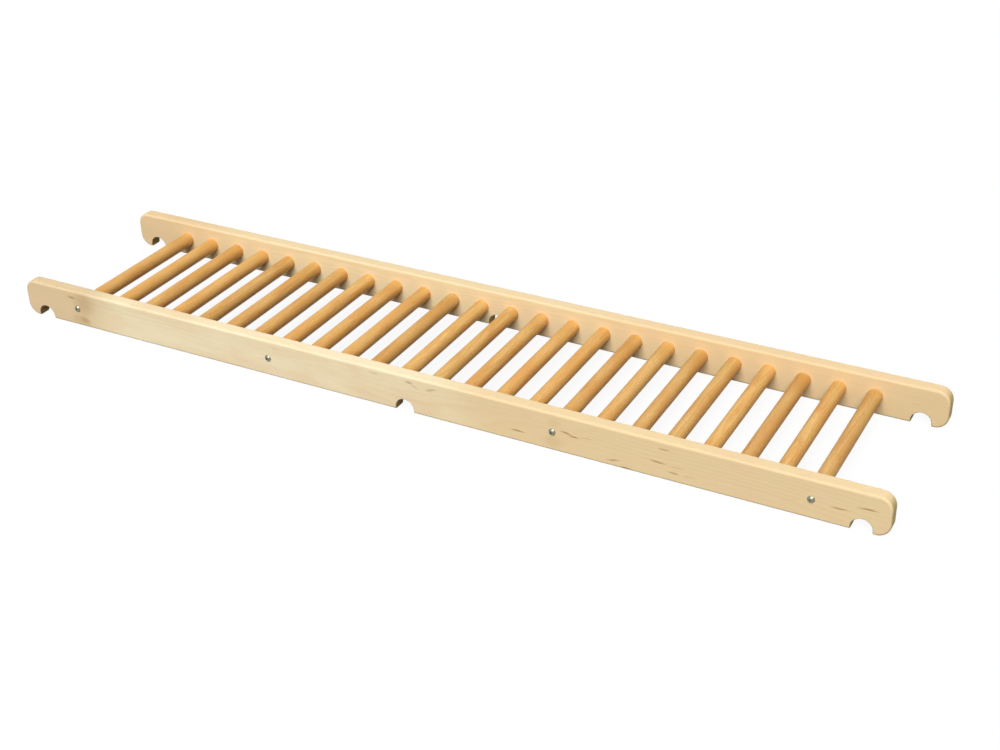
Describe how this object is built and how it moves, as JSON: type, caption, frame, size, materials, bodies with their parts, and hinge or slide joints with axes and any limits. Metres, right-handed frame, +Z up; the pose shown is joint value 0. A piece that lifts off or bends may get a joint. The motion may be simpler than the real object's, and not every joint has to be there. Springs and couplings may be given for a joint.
{
  "type": "climbing ladder",
  "caption": "Flat wooden climbing ladder with closely spaced round rungs between two side rails, and open notches in the rails' bottom edges that hook over bars.",
  "frame": {"origin": "middle of the ladder on the surface that it lies on, under the middle of its bounding box", "axes": "+X along the rails from the left end to the right end, +Y from the front rail to the back rail, +Z up, square to the plane of the rungs"},
  "size_m": [1.89, 0.416, 0.08],
  "materials": {
    "rail_wood": "satin",
    "rung_wood": "satin",
    "screw_steel": "satin"
  },
  "bodies": {
    "root": {"side_rail_front": "rail_wood", "side_rail_back": "rail_wood", "rung_01": "rung_wood", "rung_02": "rung_wood", "rung_03": "rung_wood", "rung_04": "rung_wood", "rung_05": "rung_wood", "rung_06": "rung_wood", "rung_07": "rung_wood", "rung_08": "rung_wood", "rung_09": "rung_wood", "rung_10": "rung_wood", "rung_11": "rung_wood", "rung_12": "rung_wood", "rung_13": "rung_wood", "rung_14": "rung_wood", "rung_15": "rung_wood", "rung_16": "rung_wood", "rung_17": "rung_wood", "rung_18": "rung_wood", "rung_19": "rung_wood", "rung_20": "rung_wood", "rung_21": "rung_wood", "rung_22": "rung_wood", "rung_23": "rung_wood", "rung_24": "rung_wood", "screw_front_01": "screw_steel", "screw_back_01": "screw_steel", "screw_front_08": "screw_steel", "screw_back_08": "screw_steel", "screw_front_17": "screw_steel", "screw_back_17": "screw_steel", "screw_front_24": "screw_steel", "screw_back_24": "screw_steel"}
  },
  "joints": []
}
